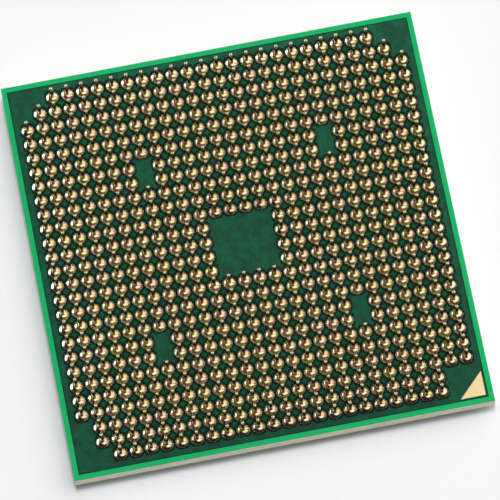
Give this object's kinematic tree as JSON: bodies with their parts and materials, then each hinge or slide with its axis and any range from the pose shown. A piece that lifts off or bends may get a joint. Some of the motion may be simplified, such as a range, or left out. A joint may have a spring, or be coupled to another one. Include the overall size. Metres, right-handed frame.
{
  "type": "computer processor",
  "caption": "Square green pin-grid processor package lying on its bare chip, with a field of gold pins standing in solder joints and a gold corner triangle.",
  "frame": {"origin": "centre of the chip's bare back, on the surface that the package lies on", "axes": "+X along the pin rows, +Y away from the marked corner's edge, +Z towards the pin tips"},
  "size_m": [0.0348, 0.0348, 0.0041],
  "materials": {
    "laminate": "sawn glass-fibre laminate",
    "solder_mask": "satin green lacquer",
    "bare_gold": "flat gold plating",
    "pad_metal": "gold-plated copper",
    "joint_solder": "smooth gold-toned solder",
    "pin_gold": "polished gold plating",
    "silicon": "mirror-polished silicon",
    "tin_solder": "reflowed solder",
    "underfill_resin": "cured resin",
    "capacitor_ceramic": "fired ceramic",
    "terminal_tin": "matt tin plating"
  },
  "bodies": {
    "root": {"laminate": "laminate", "pin_side_mask": "solder_mask", "die_side_mask": "solder_mask", "pin_1_marker": "bare_gold", "die_side_marker": "bare_gold", "pin_pads": "pad_metal", "die": "silicon", "die_bumps": "tin_solder", "underfill": "underfill_resin", "capacitor_bodies": "capacitor_ceramic", "capacitor_terminals": "terminal_tin", "capacitor_pads": "pad_metal", "capacitor_solder": "tin_solder", "solder_rows_a_f": "joint_solder", "solder_rows_g_n": "joint_solder", "solder_rows_p_y": "joint_solder", "solder_rows_aa_af": "joint_solder", "pins_row_a": "pin_gold", "pins_row_b": "pin_gold", "pins_row_c": "pin_gold", "pins_row_d": "pin_gold", "pins_row_e": "pin_gold", "pins_row_f": "pin_gold", "pins_row_g": "pin_gold", "pins_row_h": "pin_gold", "pins_row_j": "pin_gold", "pins_row_k": "pin_gold", "pins_row_l": "pin_gold", "pins_row_m": "pin_gold", "pins_row_n": "pin_gold", "pins_row_p": "pin_gold", "pins_row_r": "pin_gold", "pins_row_t": "pin_gold", "pins_row_u": "pin_gold", "pins_row_v": "pin_gold", "pins_row_w": "pin_gold", "pins_row_y": "pin_gold", "pins_row_aa": "pin_gold", "pins_row_ab": "pin_gold", "pins_row_ac": "pin_gold", "pins_row_ad": "pin_gold", "pins_row_ae": "pin_gold", "pins_row_af": "pin_gold"}
  },
  "joints": []
}
